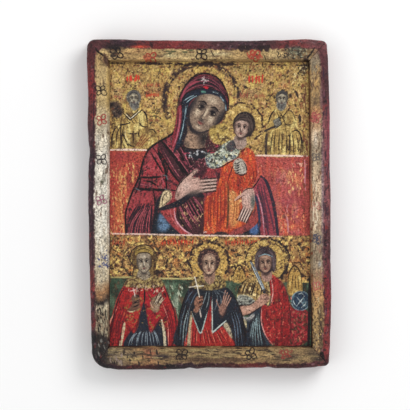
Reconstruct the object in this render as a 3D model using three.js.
// A painted wooden icon panel, such as hangs in a house: one worn board, with four mitred border
// strips laid on its front, so that the painted field between them lies sunk.
// It lies on its back with the picture facing up. Units are millimetres.
// +X is the picture's right, +Y is its top and +Z points out of the painted front.
// The origin is the centre of the back, in the plane that the panel lies on.

import * as THREE from "three";

// The board, measured over its widest places
const panelWidth = 245;
const panelHeight = 331;
const boardThickness = 19;
const backArris = 1.2;

// The border strips, each measured from the board's nominal edge to the sunk field
const stripThickness = 8;
const topStripWidth = 23;
const bottomStripWidth = 24;
const leftStripWidth = 23;
const rightStripWidthAtTop = 23;
const rightStripWidthAtBottom = 20;
const mitreGap = 0.3;

// The strips' section: a steep inner side, a flat top and an outer edge worn round
const innerBevelRun = 2.4;
const innerArris = 0.8;
const outerRoundRun = 6;
const outerRoundDrop = 4.2;
const outerRoundSteps = 4;

// The worn corners, seen from the front
const topLeftRadius = 8;
const topRightRadius = 6;
const bottomRightRadius = 5;
const bottomLeftRadius = 18;
const halfCornerSteps = 4;

// How far apart the sections along a side stand at most
const longestStep = 6;

// What wear took from each side. Each entry is the share of the way along the side's straight
// stretch, going round from the bottom left corner as seen from the front, and the depth lost there.
const bottomWear = [
  [0, 1.1], [0.038, 0.3], [0.1, 0.1], [0.155, 0.5], [0.22, 0], [0.346, 1], [0.374, 2.1], [0.407, 1],
  [0.458, 2.1], [0.6, 1.8], [0.71, 2.1], [0.738, 2.8], [0.775, 1.5], [0.878, 1.5], [0.934, 2.3], [1, 4],
];
const rightWear = [
  [0, 2.3], [0.061, 1.2], [0.131, 0.3], [0.226, 0], [0.321, 0.7], [0.559, 0.7], [0.623, 1.5],
  [0.804, 1.5], [0.861, 2.4], [0.956, 3.2], [1, 4.2],
];
const topWear = [
  [0, 1.3], [0.041, 0.3], [0.076, 0], [0.191, 1], [0.315, 1.6], [0.5, 1.6], [0.659, 1], [0.792, 1],
  [0.897, 0.2], [1, 0.2],
];
const leftWear = [
  [0, 0.3], [0.042, 0], [0.092, 0.7], [0.18, 1.5], [0.25, 0.9], [0.305, 1.6], [0.338, 3.1],
  [0.398, 1.7], [0.516, 1.7], [0.602, 2.2], [0.684, 2.5], [0.783, 3.5], [0.931, 4.4], [1, 5.3],
];

const left = -panelWidth / 2;
const right = panelWidth / 2;
const bottom = -panelHeight / 2;
const top = panelHeight / 2;

// The corners of the sunk field
const fieldBottomLeft = new THREE.Vector2(left + leftStripWidth, bottom + bottomStripWidth);
const fieldBottomRight = new THREE.Vector2(right - rightStripWidthAtBottom, bottom + bottomStripWidth);
const fieldTopRight = new THREE.Vector2(right - rightStripWidthAtTop, top - topStripWidth);
const fieldTopLeft = new THREE.Vector2(left + leftStripWidth, top - topStripWidth);

// The four sides, in order round the panel. Each has the nominal corner where it starts, its
// length, its direction, the way out of the panel, its wear and the corner radius at its start.
const sides = [
  {
    name: "bottom", corner: new THREE.Vector2(left, bottom), length: panelWidth, wear: bottomWear,
    along: new THREE.Vector2(1, 0), outward: new THREE.Vector2(0, -1), radius: bottomLeftRadius,
    fieldStart: fieldBottomLeft, fieldEnd: fieldBottomRight,
  },
  {
    name: "right", corner: new THREE.Vector2(right, bottom), length: panelHeight, wear: rightWear,
    along: new THREE.Vector2(0, 1), outward: new THREE.Vector2(1, 0), radius: bottomRightRadius,
    fieldStart: fieldBottomRight, fieldEnd: fieldTopRight,
  },
  {
    name: "top", corner: new THREE.Vector2(right, top), length: panelWidth, wear: topWear,
    along: new THREE.Vector2(-1, 0), outward: new THREE.Vector2(0, 1), radius: topRightRadius,
    fieldStart: fieldTopRight, fieldEnd: fieldTopLeft,
  },
  {
    name: "left", corner: new THREE.Vector2(left, top), length: panelHeight, wear: leftWear,
    along: new THREE.Vector2(0, -1), outward: new THREE.Vector2(-1, 0), radius: topLeftRadius,
    fieldStart: fieldTopLeft, fieldEnd: fieldBottomLeft,
  },
];

function sideBefore(index) {
  return sides[(index + sides.length - 1) % sides.length];
}

function sideAfter(index) {
  return sides[(index + 1) % sides.length];
}

function firstWear(side) {
  return side.wear[0][1];
}

function lastWear(side) {
  return side.wear[side.wear.length - 1][1];
}

// A point of a side, from its distance along the nominal edge and the depth that wear took there
function sidePoint(side, distance, depth) {
  return side.corner.clone().addScaledVector(side.along, distance).addScaledVector(side.outward, -depth);
}

// Half of a corner's arc, from angle share `from` to `to` of the quarter turn between two sides
function halfCorner(before, after, from, to) {
  const centre = sidePoint(after, lastWear(before) + after.radius, firstWear(after) + after.radius);
  const points = [];
  for (let step = 0; step <= halfCornerSteps; step += 1) {
    const turn = (Math.PI / 2) * (from + ((to - from) * step) / halfCornerSteps);
    const point = centre.clone().addScaledVector(before.outward, after.radius * Math.cos(turn));
    points.push(point.addScaledVector(after.outward, after.radius * Math.sin(turn)));
  }
  return points;
}

// The worn straight stretch of a side, eased from one depth to the next
function wornStretch(side, start, end) {
  const points = [];
  for (let stop = 0; stop + 1 < side.wear.length; stop += 1) {
    const [fromShare, fromDepth] = side.wear[stop];
    const [toShare, toDepth] = side.wear[stop + 1];
    const steps = Math.ceil(((end - start) * (toShare - fromShare)) / longestStep);
    for (let step = 1; step <= steps; step += 1) {
      const share = fromShare + ((toShare - fromShare) * step) / steps;
      const eased = (1 - Math.cos((Math.PI * step) / steps)) / 2;
      points.push(sidePoint(side, start + (end - start) * share, fromDepth + (toDepth - fromDepth) * eased));
    }
  }
  return points;
}

// The outer edge of a side, from the middle of one corner to the middle of the next
function outerEdge(index) {
  const side = sides[index];
  const before = sideBefore(index);
  const after = sideAfter(index);
  const start = lastWear(before) + side.radius;
  const end = side.length - firstWear(after) - after.radius;
  return [
    ...halfCorner(before, side, 0.5, 1),
    ...wornStretch(side, start, end).slice(0, -1),
    ...halfCorner(side, after, 0, 0.5),
  ];
}

// A closed solid through rings of points. The rings run anticlockwise seen from the last one, and
// the cap triangles, given for one ring, close both ends.
function solidThroughRings(rings, capTriangles) {
  const count = rings[0].length;
  const positions = rings.flat().flatMap((point) => [point.x, point.y, point.z]);
  const indices = [];
  for (let ring = 0; ring + 1 < rings.length; ring += 1) {
    for (let at = 0; at < count; at += 1) {
      const here = ring * count + at;
      const next = ring * count + ((at + 1) % count);
      indices.push(here, next, next + count, here, next + count, here + count);
    }
  }
  const lastRing = (rings.length - 1) * count;
  for (const [a, b, c] of capTriangles) {
    indices.push(a, c, b);
    indices.push(lastRing + a, lastRing + b, lastRing + c);
  }
  const geometry = new THREE.BufferGeometry();
  geometry.setAttribute("position", new THREE.Float32BufferAttribute(positions, 3));
  geometry.setIndex(indices);
  geometry.computeVertexNormals();
  return geometry;
}

// Moves an outline in by a small distance, along the normal at each of its points
function insetOutline(outline, distance) {
  return outline.map((point, at) => {
    const before = outline[(at + outline.length - 1) % outline.length];
    const after = outline[(at + 1) % outline.length];
    const run = after.clone().sub(before).normalize();
    return new THREE.Vector2(point.x - run.y * distance, point.y + run.x * distance);
  });
}

function outlineAtHeight(outline, height) {
  return outline.map((point) => new THREE.Vector3(point.x, point.y, height));
}

// The board: the worn outline, with the back's arris taken off
function boardGeometry() {
  const outline = sides.flatMap((side, index) => outerEdge(index).slice(0, -1));
  const rings = [
    outlineAtHeight(insetOutline(outline, backArris), 0),
    outlineAtHeight(outline, backArris),
    outlineAtHeight(outline, boardThickness),
  ];
  return solidThroughRings(rings, THREE.ShapeUtils.triangulateShape(outline, []));
}

// A strip's section: distances from the field's edge and heights over the board, from the foot of
// the inner side, over the top, to the foot of the outer side
function stripSection(width) {
  const section = [[0, 0], [innerBevelRun, stripThickness - innerArris]];
  section.push([innerBevelRun + innerArris, stripThickness]);
  for (let step = 0; step <= outerRoundSteps; step += 1) {
    const turn = (Math.PI / 2) * (step / outerRoundSteps);
    const across = width - outerRoundRun * (1 - Math.sin(turn));
    section.push([across, stripThickness - outerRoundDrop * (1 - Math.cos(turn))]);
  }
  section.push([width, 0]);
  return section;
}

// How far along its outer edge each point of a strip lies, as a share of the edge's length
function sharesAlong(points) {
  const reached = [0];
  for (let at = 1; at < points.length; at += 1) {
    reached.push(reached[at - 1] + points[at].distanceTo(points[at - 1]));
  }
  return reached.map((distance) => distance / reached[reached.length - 1]);
}

// A border strip between two mitres: sections from the straight edge of the field to the worn outer
// edge, drawn back at both ends by half the mitre gap
function stripGeometry(index) {
  const side = sides[index];
  const outer = outerEdge(index);
  const shares = sharesAlong(outer);
  const drawBack = (mitreGap / 2) * Math.SQRT2;
  const rings = outer.map((outerPoint, at) => {
    const shift = drawBack * (1 - 2 * shares[at]);
    const inner = side.fieldStart.clone().lerp(side.fieldEnd, shares[at]).addScaledVector(side.along, shift);
    const edge = outerPoint.clone().addScaledVector(side.along, shift);
    const width = inner.distanceTo(edge);
    return stripSection(width).map(([across, height]) => {
      const point = inner.clone().lerp(edge, across / width);
      return new THREE.Vector3(point.x, point.y, boardThickness + height);
    });
  });
  const capTriangles = [];
  for (let corner = 1; corner + 1 < rings[0].length; corner += 1) {
    capTriangles.push([0, corner, corner + 1]);
  }
  return solidThroughRings(rings, capTriangles);
}

function namedPiece(name, geometry, colour, roughness) {
  const material = new THREE.MeshStandardMaterial({ color: colour, roughness, metalness: 0 });
  const piece = new THREE.Mesh(geometry, material);
  piece.name = name;
  return piece;
}

const boardColour = 0x7a4f3c;
const stripColours = { bottom: 0x76603f, right: 0xa08765, top: 0x9a7b52, left: 0xb3a287 };
const paintRoughness = 0.6;

const icon = new THREE.Group();
icon.add(namedPiece("panel_board", boardGeometry(), boardColour, paintRoughness));
sides.forEach((side, index) => {
  icon.add(namedPiece(`frame_${side.name}`, stripGeometry(index), stripColours[side.name], paintRoughness));
});

export default icon;
